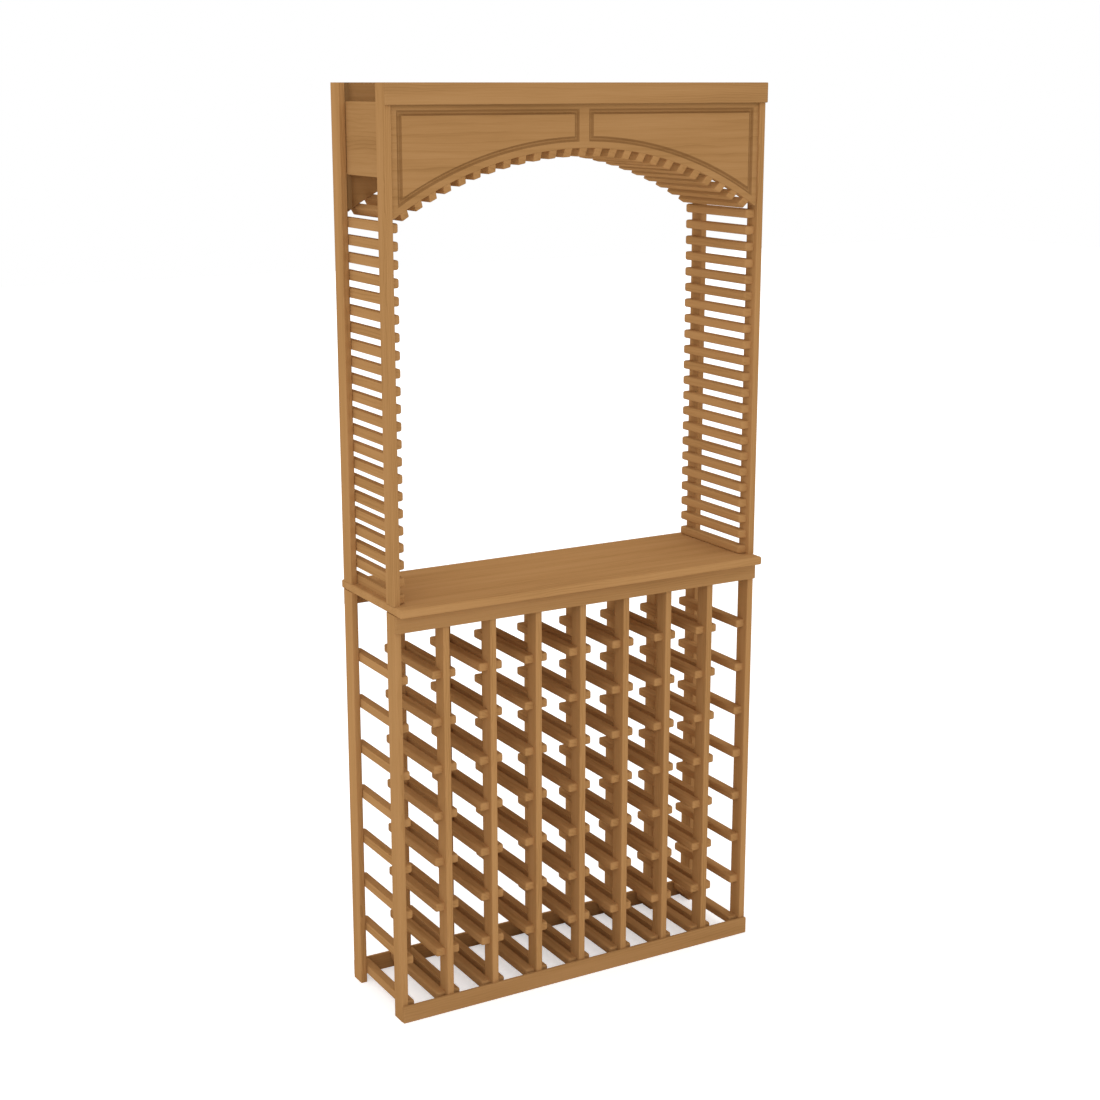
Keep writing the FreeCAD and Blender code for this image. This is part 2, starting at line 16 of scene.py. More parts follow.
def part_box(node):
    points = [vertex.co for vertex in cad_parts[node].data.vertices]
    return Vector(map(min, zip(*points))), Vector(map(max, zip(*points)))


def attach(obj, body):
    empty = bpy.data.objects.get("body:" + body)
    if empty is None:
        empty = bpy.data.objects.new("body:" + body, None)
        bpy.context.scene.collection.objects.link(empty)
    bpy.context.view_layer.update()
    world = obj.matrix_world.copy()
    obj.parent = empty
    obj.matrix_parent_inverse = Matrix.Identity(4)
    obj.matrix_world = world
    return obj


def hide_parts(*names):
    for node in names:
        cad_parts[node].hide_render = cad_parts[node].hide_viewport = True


bl_info = {
    "name": "Tasting table",
    "version": (1, 0, 0),
    "blender": (4, 5, 0),
    "location": "View3D > Sidebar > Tasting table",
    "description": "Models and finishes the boards of a wooden tasting table around its CAD frame",
    "category": "Object",
}

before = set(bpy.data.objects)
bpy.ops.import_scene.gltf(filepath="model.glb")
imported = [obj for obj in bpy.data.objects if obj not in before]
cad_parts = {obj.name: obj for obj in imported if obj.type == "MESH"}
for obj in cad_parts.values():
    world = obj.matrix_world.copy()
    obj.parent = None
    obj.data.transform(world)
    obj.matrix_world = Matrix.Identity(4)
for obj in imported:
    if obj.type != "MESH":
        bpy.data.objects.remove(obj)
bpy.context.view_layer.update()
MM = 0.001
WELDED = 0.001 * MM  # corners of loose triangles nearer than this are one corner
TOUCHING = 0.01 * MM  # points nearer to a plane than this lie in it
ON_FOOT = 0.05 * MM  # edges nearer to the end of the arch than this are its foot
PHOTO_SIDE = 1100  # pixels along a side of the square picture that the camera is set for
FOCAL_LENGTH = 1885.5  # in the same pixels
LOG_SPREAD = (3.1, 4.7, 5.9)  # metres of the log that the boards are cut from
GRAIN_TURNS = {"X": (0.0, math.pi / 2, 0.0), "Y": (math.pi / 2, 0.0, 0.0), "Z": (0.0, 0.0, 0.0)}


def linear(code):
    """The linear colour of an sRGB hex code."""
    channels = [int(code[place:place + 2], 16) / 255 for place in (1, 3, 5)]
    return tuple(c / 12.92 if c <= 0.04045 else ((c + 0.055) / 1.055) ** 2.4 for c in channels)


def length(name, description, default):
    """A length that a user can change, in metres."""
    return bpy.props.FloatProperty(name=name, description=description, default=default, min=0.0,
                                   unit="LENGTH", precision=5)


def colour(name, description, code):
    """A colour that a user can change, given as an sRGB hex code."""
    return bpy.props.FloatVectorProperty(name=name, description=description, default=linear(code), size=3,
                                         min=0.0, max=1.0, subtype="COLOR")


class TastingTableSizes(bpy.types.PropertyGroup):
    """Sizes of the shaping and of the grain"""

    post_ease: length("Upright rounding", "Radius on the long edges of the uprights", 2.5 * MM)
    rail_ease: length("Rail rounding", "Radius on the edges of the rails and slats", 4 * MM)
    arch_slat_ease: length("Arch slat rounding", "Radius on the edges of the slats of the arch", 2 * MM)
    arch_slat_slope: length("Arch slat slope",
                            "Lower edge of the arch slats' front ends behind the upper one", 9.5 * MM)
    side_slat_slope: length("Side slat slope",
                            "Inner edge of the side slats' front ends behind the outer one", 4 * MM)
    strip_ease: length("Strip rounding", "Radius on the edges of the strips", 2 * MM)
    table_ease: length("Table rounding", "Radius on the edges of the table top", 4 * MM)
    board_ease: length("Board rounding", "Radius on the edges of the header boards and end boards", 1.5 * MM)
    tip_radius: length("Arch foot rounding", "Radius on the feet of the arched header boards", 4 * MM)
    panel_border: length("Panel border", "Plain wood beside and below the routed groove", 12.8 * MM)
    panel_top_drop: length("Panel top", "Top of the header board to the routed groove", 50.6 * MM)
    panel_mullion: length("Panel mullion", "Plain wood between the two routed panels", 22.5 * MM)
    groove_width: length("Groove width", "Width of the routed groove", 10.8 * MM)
    groove_depth: length("Groove depth", "Depth of the routed groove", 4 * MM)
    groove_floor: length("Groove floor", "Width of the flat floor of the routed groove", 3 * MM)
    upright_rings: length("Upright rings", "Distance between the growth rings of the uprights", 3.7 * MM)
    slat_rings: length("Slat rings", "Distance between the growth rings of the rails, slats and end boards",
                       8 * MM)
    strip_rings: length("Strip rings", "Distance between the growth rings of the strips and the table top",
                        5 * MM)
    header_rings: length("Header rings", "Distance between the growth rings of the header boards", 15 * MM)
    ring_waver: length("Ring waver", "How far the growth rings wander from a straight line", 9 * MM)
    fibre_width: length("Fibre width", "Width of the fine streaks along the grain", 2.2 * MM)
    streak_width: length("Streak width", "Width of the broad streaks along the grain", 26 * MM)


class TastingTableColours(bpy.types.PropertyGroup):
    """Colours of the finishes and of the stage"""

    stain_mid: colour("Stain", "Stained wood between the streaks", "#B48654")
    # The light stain is also mixed onto the rounded edges as a painted highlight
    stain_light: colour("Light stain", "Stained wood in the early growth and on rubbed edges", "#BE905E")
    stain_dark: colour("Dark stain", "Stained wood in the late growth", "#896135")
    # Painted shade: the colour mixed into the routed grooves of the header boards, darkest on their walls
    painted_groove_shade: colour("Painted groove shade", "Stain that has run together in the routed grooves", "#6B4826")
    dowel: colour("Dowel", "Unstained beech", "#C9A57A")
    steel: colour("Steel", "Zinc-plated steel", "#A9ABAD")
    floor: colour("Floor", "Plain pale floor", "#F4F4F4")


class TastingTableSettings(bpy.types.PropertyGroup):
    """All settings of the tasting table"""

    sizes: bpy.props.PointerProperty(type=TastingTableSizes)
    colours: bpy.props.PointerProperty(type=TastingTableColours)


def sizes():
    return bpy.context.scene.tasting_table.sizes


def colours():
    return bpy.context.scene.tasting_table.colours


def solid_boxes(node):
    """Lowest and highest corner of each solid of a CAD node, from the floor up and from left to right."""
    bpy.ops.object.select_all(action="DESELECT")
    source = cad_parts[node]
    copy = bpy.data.objects.new(node + "_measured", source.data.copy())
    bpy.context.scene.collection.objects.link(copy)
    copy.select_set(True)
    bpy.context.view_layer.objects.active = copy
    bpy.ops.object.mode_set(mode="EDIT")
    bpy.ops.mesh.select_all(action="SELECT")
    bpy.ops.mesh.remove_doubles(threshold=WELDED)
    bpy.ops.mesh.separate(type="LOOSE")
    bpy.ops.object.mode_set(mode="OBJECT")
    boxes = []
    for solid in bpy.context.selected_objects:
        points = [vertex.co for vertex in solid.data.vertices]
        boxes.append((Vector(map(min, zip(*points))), Vector(map(max, zip(*points)))))
    bpy.ops.object.delete()
    return sorted(boxes, key=lambda box: (round(box[0].z, 4), round(box[0].x, 4)))


def pick(kind, test):
    """In edit mode, selects only the points, edges or faces of the open piece that pass the test."""
    bpy.ops.mesh.select_mode(type=kind)
    bpy.ops.mesh.select_all(action="DESELECT")
    mesh = bpy.context.edit_object.data
    work = bmesh.from_edit_mesh(mesh)
    for item in {"VERT": work.verts, "EDGE": work.edges, "FACE": work.faces}[kind]:
        item.select_set(test(item))
    bmesh.update_edit_mesh(mesh)


def edge_direction(edge):
    return (edge.verts[1].co - edge.verts[0].co).normalized()


def turn_faces_outwards():
    """In edit mode, turns all the faces of the open piece outwards."""
    bpy.ops.mesh.select_all(action="SELECT")
    bpy.ops.mesh.normals_make_consistent(inside=False)


def smooth(piece, sharpest=50):
    """Soft shading over rounded edges, up to the sharpest angle in degrees, and flat faces between them."""
    bpy.ops.object.select_all(action="DESELECT")
    piece.select_set(True)
    bpy.context.view_layer.objects.active = piece
    bpy.ops.object.shade_smooth_by_angle(angle=math.radians(sharpest))
    bpy.ops.object.modifier_add(type="WEIGHTED_NORMAL")
    piece.modifiers[-1].keep_sharp = True
    bpy.ops.object.modifier_apply(modifier=piece.modifiers[-1].name)


def mark_highlit_edges(piece):
    """Notes the rounded edges, where a highlight is painted: the faces that a bevel leaves selected."""
    rubbed = piece.data.attributes.new("rubbed", "FLOAT", "FACE")
    for face in piece.data.polygons:
        rubbed.data[face.index].value = float(face.select)


def cut_from(piece, stick):
    """Gives a board its own place in the grain and its own tone, from the stick of wood it was cut from."""
    board = piece.data.attributes.get("board") or piece.data.attributes.new("board", "FLOAT", "POINT")
    place = random.Random(stick).random()
    for point in board.data:
        point.value = place
    return piece


def plain_board(name, box):
    """A board that fills a box."""
    low, high = box
    bpy.ops.object.select_all(action="DESELECT")
    bpy.ops.mesh.primitive_cube_add(size=1, location=(low + high) / 2, scale=high - low)
    piece = bpy.context.object
    piece.name = name
    bpy.ops.object.transform_apply(location=True, rotation=True, scale=True)
    return piece


def rounded(piece, ease, segments, eased):
    """Rounds those edges of the open board that pass the test."""
    bpy.ops.object.mode_set(mode="EDIT")
    pick("EDGE", eased)
    bpy.ops.mesh.bevel(offset=ease, segments=segments, affect="EDGES")
    bpy.ops.object.mode_set(mode="OBJECT")
    mark_highlit_edges(piece)
    smooth(piece)
    return cut_from(piece, piece.name)


def eased_board(name, box, ease, segments, eased=lambda edge: True):
    """A board that fills a box, with rounded edges."""
    return rounded(plain_board(name, box), ease, segments, eased)


def copy_of(piece, name, move):
    """A copy of a board with its own mesh, moved and turned by a matrix, from another stick of wood."""
    copy = bpy.data.objects.new(name, piece.data.copy())
    bpy.context.scene.collection.objects.link(copy)
    copy.data.transform(move)
    return cut_from(copy, name)


def joined(boards, name):
    """Like boards of one node as one piece."""
    bpy.ops.object.select_all(action="DESELECT")
    for board in boards:
        board.select_set(True)
    bpy.context.view_layer.objects.active = boards[0]
    bpy.ops.object.join()
    boards[0].name = name
    boards[0].data.name = name
    return boards[0]


def finish(piece, node, material):
    """Gives a piece its finish and its place in the frame."""
    piece.data.materials.clear()
    piece.data.materials.append(material)
    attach(piece, "root")
    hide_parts(node)


def add_node(tree, kind, inputs=None, **settings):
    """A shader node with its settings, and its inputs linked to sockets or set to values."""
    node = tree.nodes.new(kind)
    for name, value in settings.items():
        setattr(node, name, value)
    for name, value in (inputs or {}).items():
        if isinstance(value, bpy.types.NodeSocket):
            tree.links.new(value, node.inputs[name])
        else:
            node.inputs[name].default_value = value
    return node


def new_material(name):
    """A material of that name with an empty tree, its shader and its tree."""
    material = bpy.data.materials.new(name)
    material.use_nodes = True
    tree = material.node_tree
    tree.nodes.clear()
    shader = add_node(tree, "ShaderNodeBsdfPrincipled")
    add_node(tree, "ShaderNodeOutputMaterial", {"Surface": shader.outputs["BSDF"]})
    return material, shader, tree


def opaque(rgb):
    return (*rgb, 1.0)


def grain_pattern(tree, along, ring_spacing, ring_depth):
    """Fine fibres, and how dark the grain is: rings, broad streaks and fibres together. It runs along Z."""
    size = sizes()
    # Fibres and streaks are many times longer than they are wide
    fibre_place = add_node(tree, "ShaderNodeVectorMath", {0: along, 1: (1, 1, 0.02)},
                           operation="MULTIPLY").outputs["Vector"]
    fibres = add_node(tree, "ShaderNodeTexNoise", {
        "Vector": fibre_place, "Scale": 1 / size.fibre_width, "Detail": 2.0, "Roughness": 0.6}).outputs["Fac"]
    streak_place = add_node(tree, "ShaderNodeVectorMath", {0: along, 1: (1, 1, 0.06)},
                            operation="MULTIPLY").outputs["Vector"]
    streaks = add_node(tree, "ShaderNodeTexNoise", {
        "Vector": streak_place, "Scale": 1 / size.streak_width, "Detail": 3.0}).outputs["Fac"]
    # Growth rings wander, and show as thin wavy lines
    waver_place = add_node(tree, "ShaderNodeVectorMath", {0: along, 1: (1, 1, 0.3)},
                           operation="MULTIPLY").outputs["Vector"]
    waver = add_node(tree, "ShaderNodeTexNoise", {
        "Vector": waver_place, "Scale": 1 / (5 * size.ring_waver), "Detail": 3.0}).outputs["Color"]
    ring_place = add_node(tree, "ShaderNodeVectorMath", {
        0: waver, 1: (2 * size.ring_waver, 2 * size.ring_waver, 0), 2: streak_place},
        operation="MULTIPLY_ADD").outputs["Vector"]
    rings = add_node(tree, "ShaderNodeTexWave", {"Vector": ring_place, "Scale": math.tau / 20 / ring_spacing},
                     wave_type="RINGS", rings_direction="Z", wave_profile="SAW").outputs["Fac"]
    # Rings come and go with the streaks
    showing = add_node(tree, "ShaderNodeMapRange", {
        "Value": streaks, "From Min": 0.36, "From Max": 0.62,
        "To Min": 0.15 * ring_depth, "To Max": ring_depth}).outputs["Result"]
    late = add_node(tree, "ShaderNodeMapRange", {
        "Value": rings, "From Min": 0.55, "From Max": 1.0, "To Max": showing}).outputs["Result"]
    streaked = add_node(tree, "ShaderNodeMapRange", {
        "Value": streaks, "From Min": 0.3, "From Max": 0.7, "To Min": 0.1, "To Max": 0.36}).outputs["Result"]
    fine = add_node(tree, "ShaderNodeMapRange", {
        "Value": fibres, "From Min": 0.3, "From Max": 0.7, "To Min": -0.08, "To Max": 0.08}).outputs["Result"]
    grown = add_node(tree, "ShaderNodeMath", {0: late, 1: streaked}, operation="ADD").outputs[0]
    darkness = add_node(tree, "ShaderNodeMath", {0: grown, 1: fine}, operation="ADD", use_clamp=True)
    return fibres, darkness.outputs[0]


def stained_pine(name, grain, ring_spacing, ring_depth, tone_and_shade=1.0):
    """Planed softwood, wiped with a honey oak stain and left without lacquer.

    The stain leaves thin darker rings along the grain that come and go. Each board takes it a little
    differently. Shade is painted into the routed grooves and onto the battens, and a highlight onto
    rounded edges. The face is dry and matt.
    """
    if name in bpy.data.materials:
        return bpy.data.materials[name]
    material, shader, tree = new_material(name)
    stain = colours()
    board = add_node(tree, "ShaderNodeAttribute", attribute_name="board").outputs["Fac"]
    place = add_node(tree, "ShaderNodeTexCoord").outputs["Object"]
    # Each board shows another part of the log
    shifted = add_node(tree, "ShaderNodeVectorMath", {0: board, 1: LOG_SPREAD, 2: place},
                       operation="MULTIPLY_ADD").outputs["Vector"]
    along = add_node(tree, "ShaderNodeMapping", {"Vector": shifted, "Rotation": GRAIN_TURNS[grain]})
    fibres, darkness = grain_pattern(tree, along.outputs["Vector"], ring_spacing, ring_depth)
    ramp = add_node(tree, "ShaderNodeValToRGB", {"Fac": darkness})
    ramp.color_ramp.elements[0].color = opaque(stain.stain_light)
    ramp.color_ramp.elements[1].color = opaque(stain.stain_dark)
    ramp.color_ramp.elements.new(0.28).color = opaque(stain.stain_mid)
    # Some boards take more stain than others; the battens' low tone is painted shade
    tone = add_node(tree, "ShaderNodeMapRange", {
        "Value": board, "To Min": 0.97 * tone_and_shade, "To Max": 1.03 * tone_and_shade}).outputs["Result"]
    toned = add_node(tree, "ShaderNodeHueSaturation", {
        "Color": ramp.outputs["Color"], "Value": tone}).outputs["Color"]
    # Painted highlight on rounded edges, painted shade in the routed grooves
    rubbed = add_node(tree, "ShaderNodeAttribute", attribute_name="rubbed").outputs["Fac"]
    thin = add_node(tree, "ShaderNodeMath", {0: rubbed, 1: 0.15}, operation="MULTIPLY").outputs[0]
    edge_highlighted = add_node(tree, "ShaderNodeMix", {"Factor": thin, "A": toned, "B": opaque(stain.stain_light)},
                    data_type="RGBA").outputs["Result"]
    pooled = add_node(tree, "ShaderNodeAttribute", attribute_name="pooled").outputs["Fac"]
    groove_shaded = add_node(tree, "ShaderNodeMix", {"Factor": pooled, "A": edge_highlighted, "B": opaque(stain.painted_groove_shade)},
                      data_type="RGBA").outputs["Result"]
    roughness = add_node(tree, "ShaderNodeMapRange", {
        "Value": fibres, "To Min": 0.6, "To Max": 0.75}).outputs["Result"]
    bump = add_node(tree, "ShaderNodeBump", {
        "Height": fibres, "Strength": 0.2, "Distance": 0.2 * MM}).outputs["Normal"]
    shader.inputs["Specular IOR Level"].default_value = 0.0
    tree.links.new(groove_shaded, shader.inputs["Base Color"])
    tree.links.new(roughness, shader.inputs["Roughness"])
    tree.links.new(bump, shader.inputs["Normal"])
    return material


def upright_wood():
    return stained_pine("Stained pine, grain upright", "Z", sizes().upright_rings, 0.3)


def slat_wood():
    return stained_pine("Stained pine, grain front to back", "Y", sizes().slat_rings, 0.24)


def strip_wood():
    return stained_pine("Stained pine, grain across", "X", sizes().strip_rings, 0.28, tone_and_shade=0.9)


def table_wood():
    return stained_pine("Stained pine, glued up", "X", sizes().strip_rings, 0.28)


def end_board_wood():
    return stained_pine("Stained pine, wide boards", "Y", sizes().slat_rings, 0.24, tone_and_shade=0.88)


def header_wood():
    return stained_pine("Stained pine, flat sawn", "X", sizes().header_rings, 0.22, tone_and_shade=0.9)


def shaded_batten_wood():
    # Painted shade: the battens' tone is lowered to 0.55 so that they look shaded by the end boards
    return stained_pine("Stained pine, rough sawn", "Z", sizes().upright_rings, 0.3, tone_and_shade=0.55)


def plain_beech():
    """Turned beech, left bare: pale, with short fine flecks along the dowel."""
    material, shader, tree = new_material("Turned beech")
    place = add_node(tree, "ShaderNodeTexCoord").outputs["Object"]
    flecks = add_node(tree, "ShaderNodeTexNoise", {
        "Vector": place, "Scale": 1 / (1.5 * MM), "Detail": 2.0}).outputs["Fac"]
    shade = add_node(tree, "ShaderNodeMapRange", {
        "Value": flecks, "To Min": 0.85, "To Max": 1.1}).outputs["Result"]
    toned = add_node(tree, "ShaderNodeHueSaturation", {
        "Color": opaque(colours().dowel), "Value": shade}).outputs["Color"]
    tree.links.new(toned, shader.inputs["Base Color"])
    shader.inputs["Roughness"].default_value = 0.6
    return material


def zinc_plated_steel():
    """Drawn steel wire with a thin zinc plate: grey, half bright, a little cloudy."""
    material, shader, tree = new_material("Zinc-plated steel")
    place = add_node(tree, "ShaderNodeTexCoord").outputs["Object"]
    cloud = add_node(tree, "ShaderNodeTexNoise", {
        "Vector": place, "Scale": 1 / (2 * MM), "Detail": 3.0}).outputs["Fac"]
    roughness = add_node(tree, "ShaderNodeMapRange", {
        "Value": cloud, "To Min": 0.28, "To Max": 0.45}).outputs["Result"]
    shader.inputs["Base Color"].default_value = opaque(colours().steel)
    shader.inputs["Metallic"].default_value = 1.0
    tree.links.new(roughness, shader.inputs["Roughness"])
    return material


def nodes_like(*beginnings):
    return sorted(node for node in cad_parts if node.startswith(beginnings))


class TASTING_OT_uprights(bpy.types.Operator):
    """Uprights of the rack and of the arch, with their long edges rounded"""

    bl_idname = "tasting_table.uprights"
    bl_label = "Uprights"

    def execute(self, context):
        wood = upright_wood()
        for node in nodes_like("front_post", "back_post", "arch_post_front", "arch_post_back"):
            post = eased_board(node + "_wood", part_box(node), sizes().post_ease, 3,
                               lambda edge: abs(edge_direction(edge).z) > 0.5)
            finish(post, node, wood)
        return {"FINISHED"}


def clear_of(axis, level):
    """A test for the edges that do not lie in the seat of a bar, the side that is fixed."""
    return lambda edge: any(abs(point.co[axis] - level) > TOUCHING for point in edge.verts)


def sloping_bar(name, box, slope, ease, axis, seat):
    """A bar from front to back, rounded but for the side it is fixed by, its seat at a level on an axis.

    Its front end slopes back from the edge at the seat to the edge on the far side.
    """
    bar = plain_board(name, box)
    front = box[0].y

    def at_far_front(point):
        return abs(point.co.y - front) < TOUCHING and abs(point.co[axis] - seat) > TOUCHING

    bpy.ops.object.mode_set(mode="EDIT")
    pick("EDGE", lambda edge: all(at_far_front(point) for point in edge.verts))
    bpy.ops.transform.translate(value=(0, slope, 0))
    bpy.ops.object.mode_set(mode="OBJECT")
    return rounded(bar, ease, 2, clear_of(axis, seat))


def slat_stack(node, slope):
    """Like bars from front to back, one modelled and the others copied to the places of the node's solids."""
    boxes = solid_boxes(node)
    low, high = boxes[0]
    on_right_of_post = node.endswith("right") == node.startswith("bottle_rails")
    seat = low.x if on_right_of_post else high.x
    first = sloping_bar(node + "_wood", boxes[0], slope, sizes().rail_ease, 0, seat)
    bars = [first]
    for number, box in enumerate(boxes[1:], start=2):
        bars.append(copy_of(first, f"{node}_wood_{number}", Matrix.Translation(box[0] - low)))
    finish(joined(bars, node + "_wood"), node, slat_wood())


class TASTING_OT_rails(bpy.types.Operator):
    """Rails between the front and back uprights, and side slats of the arch"""

    bl_idname = "tasting_table.rails"
    bl_label = "Rails and side slats"

    def execute(self, context):
        for node in nodes_like("bottle_rails"):
            slat_stack(node, 0.0)
        for node in nodes_like("side_slats"):
            slat_stack(node, sizes().side_slat_slope)
        return {"FINISHED"}


class TASTING_OT_strips(bpy.types.Operator):
    """Strips across the uprights at the floor, under the table and across the top"""

    bl_idname = "tasting_table.strips"
    bl_label = "Strips"

    def execute(self, context):
        wood = strip_wood()
        for node in ("front_base_strip", "front_apron", "back_base_strip", "back_apron", "top_fascia"):
            strip = eased_board(node + "_wood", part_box(node), sizes().strip_ease, 3)
            finish(strip, node, wood)
        return {"FINISHED"}


class TASTING_OT_table_top(bpy.types.Operator):
    """Table top board with rounded edges"""

    bl_idname = "tasting_table.table_top"
    bl_label = "Table top"

    def execute(self, context):
        top = eased_board("table_top_wood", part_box("table_top"), sizes().table_ease, 4)
        finish(top, "table_top", table_wood())
        return {"FINISHED"}


def arch_of_slats():
    """Centre and radius of the arch, from the slats that line it, the turn of each and the crown's box."""
    boxes = solid_boxes("arch_slats")
    middles = sorted(((low + high) / 2 for low, high in boxes), key=lambda middle: middle.x)
    end, crown = middles[0], middles[len(middles) // 2]
    half_span, rise = crown.x - end.x, crown.z - end.z
    middle_radius = (half_span ** 2 + rise ** 2) / (2 * rise)
    centre = Vector((crown.x, crown.y, crown.z - middle_radius))
    crown_low, crown_high = max(boxes, key=lambda box: box[1].z)
    seat = crown_high.z - centre.z
    radius = math.hypot(seat, (crown_high.x - crown_low.x) / 2)
    turns = [math.atan2(middle.x - centre.x, middle.z - centre.z) for middle in middles]
    return SimpleNamespace(centre=centre, radius=radius, turns=turns, crown_box=(crown_low, crown_high))


class TASTING_OT_arch_slats(bpy.types.Operator):
    """Slats that line the arch, each turned about the centre of the arch"""

    bl_idname = "tasting_table.arch_slats"
    bl_label = "Arch slats"

    def execute(self, context):
        arch = arch_of_slats()
        to_centre, back = Matrix.Translation(-arch.centre), Matrix.Translation(arch.centre)
        crown = sloping_bar("arch_slats_wood", arch.crown_box, sizes().arch_slat_slope,
                            sizes().arch_slat_ease, 2, arch.crown_box[1].z)
        slats = []
        for number, turn in enumerate(arch.turns, start=1):
            about_centre = back @ Matrix.Rotation(turn, 4, "Y") @ to_centre
            slats.append(copy_of(crown, f"arch_slat_wood_{number}", about_centre))
        bpy.data.objects.remove(crown)
        finish(joined(slats, "arch_slats_wood"), "arch_slats", slat_wood())
        return {"FINISHED"}


def bisect(plane_x, outward):
    """In edit mode, cuts the open piece across X, and clears right of the cut for 1, left of it for -1."""
    bpy.ops.mesh.select_all(action="SELECT")
    bpy.ops.mesh.bisect(plane_co=(plane_x, 0, 0), plane_no=(1, 0, 0), clear_outer=outward > 0,
                        clear_inner=outward < 0)


def groove_lines():
    """How far inside a panel's outline the groove's outer wall, floor and inner wall begin, and its end."""
    size = sizes()
    wall = (size.groove_width - size.groove_floor) / 2
    return 0.0, wall, wall + size.groove_floor, size.groove_width


def header_plan(node, front, arch):
    """Where a header board stands and where the lines of its two panels run."""
    size = sizes()
    low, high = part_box(node)
    face_y = low.y if front else high.y
    return SimpleNamespace(
        low=low, high=high, face_y=face_y, inward=1 if front else -1,
        centre=arch.centre, radius=arch.radius, middle=Vector((arch.centre.x, face_y, arch.centre.z)),
        panel_top=high.z - size.panel_top_drop, panel_radius=arch.radius + size.panel_border,
        panel_outer=high.x - size.panel_border, panel_inner=size.panel_mullion / 2)


def board_face(name, plan):
    """The face of a header board: an arc grown up to a straight top, with edges along the groove lines."""
    bpy.ops.object.select_all(action="DESELECT")
    bpy.ops.mesh.primitive_circle_add(vertices=360, radius=plan.radius, fill_type="NOTHING",
                                      location=plan.middle, rotation=(math.pi / 2, 0, 0))
    piece = bpy.context.object
    piece.name = name
    bpy.ops.object.transform_apply(location=True, rotation=True, scale=True)
    bpy.ops.object.mode_set(mode="EDIT")
    bpy.ops.mesh.select_mode(type="VERT")
    bpy.ops.mesh.select_all(action="SELECT")
    bpy.ops.mesh.bisect(plane_co=(0, 0, plan.centre.z + plan.radius / 2), plane_no=(0, 0, 1),
                        clear_inner=True)
    bisect(plan.high.x, 1)
    bisect(plan.low.x, -1)
    # Arcs along the lines of the grooves, then level lines along their tops, up to the top of the board
    bpy.ops.mesh.select_all(action="SELECT")
    reached = plan.radius
    for line in groove_lines():
        arc = plan.panel_radius + line
        bpy.ops.mesh.extrude_edges_move()
        bpy.ops.transform.resize(value=(arc / reached, 1, arc / reached), center_override=plan.middle)
        reached = arc
    for level in [plan.panel_top - line for line in reversed(groove_lines())] + [plan.high.z]:
        bpy.ops.mesh.extrude_edges_move()
        bpy.ops.transform.resize(value=(1, 1, 0), center_override=(plan.centre.x, plan.face_y, level))
    bisect(plan.high.x, 1)
    bisect(plan.low.x, -1)
    for line in groove_lines():
        outer, inner = plan.panel_outer - line, plan.panel_inner + line
        for cut in (-outer, -inner, inner, outer):
            bisect(cut, 0)
    turn_faces_outwards()
    bpy.ops.object.mode_set(mode="OBJECT")
    return piece


def thicken(piece, plan):
    """Gives the face of a header board its thickness, towards the inside of the header."""
    faces_out = piece.data.polygons[0].normal.y * plan.inward < 0
    bpy.ops.object.modifier_add(type="SOLIDIFY")
    piece.modifiers[-1].thickness = plan.high.y - plan.low.y
    piece.modifiers[-1].offset = -1 if faces_out else 1
    bpy.ops.object.modifier_apply(modifier=piece.modifiers[-1].name)
    bpy.ops.object.mode_set(mode="EDIT")
    turn_faces_outwards()
    bpy.ops.object.mode_set(mode="OBJECT")


def is_foot(edge, plan):
    """Whether an edge runs from front to back at the foot of the arch, where it meets the side."""
    middle = (edge.verts[0].co + edge.verts[1].co) / 2
    on_arc = abs((middle.xz - plan.centre.xz).length - plan.radius) < ON_FOOT
    on_side = abs(abs(middle.x) - plan.high.x) < ON_FOOT
    return on_arc and on_side and abs(edge_direction(edge).y) > 0.5


def is_arched_edge(edge, plan):
    """Whether an edge lies between the arched underside of a header board and its face or back."""
    beyond = plan.radius + sizes().panel_border / 2
    low_down = all((point.co.xz - plan.centre.xz).length < beyond for point in edge.verts)
    return low_down and abs(edge_direction(edge).y) < 0.5 and edge.calc_face_angle(0) > math.radians(60)


def round_arch(piece, plan):
    """Rounds the feet and the arched edges of a header board."""
    bpy.ops.object.mode_set(mode="EDIT")
    pick("EDGE", lambda edge: is_foot(edge, plan))
    bpy.ops.mesh.bevel(offset=sizes().tip_radius, segments=4, affect="EDGES")
    pick("EDGE", lambda edge: is_arched_edge(edge, plan))
    bpy.ops.mesh.bevel(offset=sizes().board_ease, segments=3, affect="EDGES")
    bpy.ops.object.mode_set(mode="OBJECT")
    mark_highlit_edges(piece)


def share_of_depth(point, plan):
    """1 on the floor of a groove, less up its walls, 0 on the face and on the back of a header board."""
    inside = min(plan.panel_outer - abs(point.co.x), abs(point.co.x) - plan.panel_inner,
                 plan.panel_top - point.co.z, (point.co.xz - plan.centre.xz).length - plan.panel_radius)
    start, floor_start, floor_end, end = groove_lines()
    share = min((inside - start) / (floor_start - start), (end - inside) / (end - floor_end), 1.0)
    return round(share, 2) if share > 0 and abs(point.co.y - plan.face_y) < TOUCHING else 0.0


def rout_panels(piece, plan):
    """Sinks the grooves of the two panels in the face of a header board."""
    shares = {share_of_depth(point, plan) for point in piece.data.vertices} - {0.0}
    bpy.ops.object.mode_set(mode="EDIT")
    for share in sorted(shares):
        pick("VERT", lambda point: share_of_depth(point, plan) == share)
        bpy.ops.transform.translate(value=(0, share * sizes().groove_depth * plan.inward, 0))
    bpy.ops.object.mode_set(mode="OBJECT")


